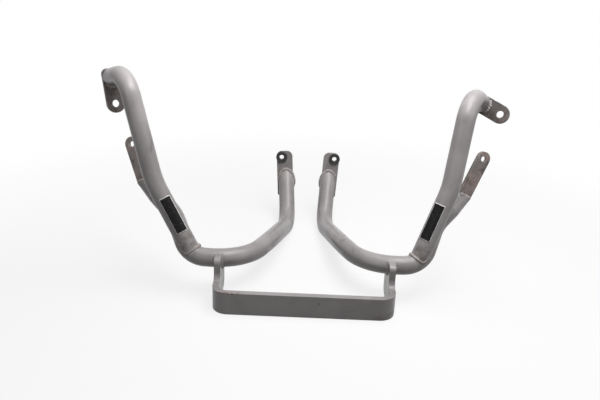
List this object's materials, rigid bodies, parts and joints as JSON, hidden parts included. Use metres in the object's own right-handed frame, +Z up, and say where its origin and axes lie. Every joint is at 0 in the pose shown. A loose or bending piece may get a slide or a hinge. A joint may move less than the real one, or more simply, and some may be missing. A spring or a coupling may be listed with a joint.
{
  "type": "motorcycle crash bars",
  "caption": "Welded tube crash bars for a motorcycle: a bent flat bracket carries swept lower tubes, coped uprights and bolt tabs that guard the engine on both sides.",
  "frame": {"origin": "underside of the bracket's bar, at the middle of its width and thickness", "axes": "+X to the right as seen from the front, +Y back towards the rear tabs, +Z up"},
  "size_m": [0.589, 0.3724, 0.3052],
  "materials": {
    "silver_paint": "satin silver-grey paint with worn edges",
    "bare_steel": "dark oxidised steel with a brownish tint",
    "painted_weld": "satin paint over a rippled weld bead",
    "rubber_bush": "shiny black rubber",
    "blank_label": "black film with a thin pale border"
  },
  "bodies": {
    "root": {"front_bracket": "silver_paint", "left_lower_tube": "silver_paint", "left_upper_tube": "silver_paint", "left_top_tab": "bare_steel", "left_side_strap": "bare_steel", "left_rear_tab": "silver_paint", "left_rear_bush": "rubber_bush", "left_label": "blank_label", "left_joint_weld": "painted_weld", "left_top_tab_weld": "painted_weld", "left_strap_weld": "painted_weld", "left_rear_tab_weld": "painted_weld", "left_bracket_weld": "painted_weld", "right_lower_tube": "silver_paint", "right_upper_tube": "silver_paint", "right_top_tab": "bare_steel", "right_side_strap": "bare_steel", "right_rear_tab": "silver_paint", "right_rear_bush": "rubber_bush", "right_label": "blank_label", "right_joint_weld": "painted_weld", "right_top_tab_weld": "painted_weld", "right_strap_weld": "painted_weld", "right_rear_tab_weld": "painted_weld", "right_bracket_weld": "painted_weld"}
  },
  "joints": []
}
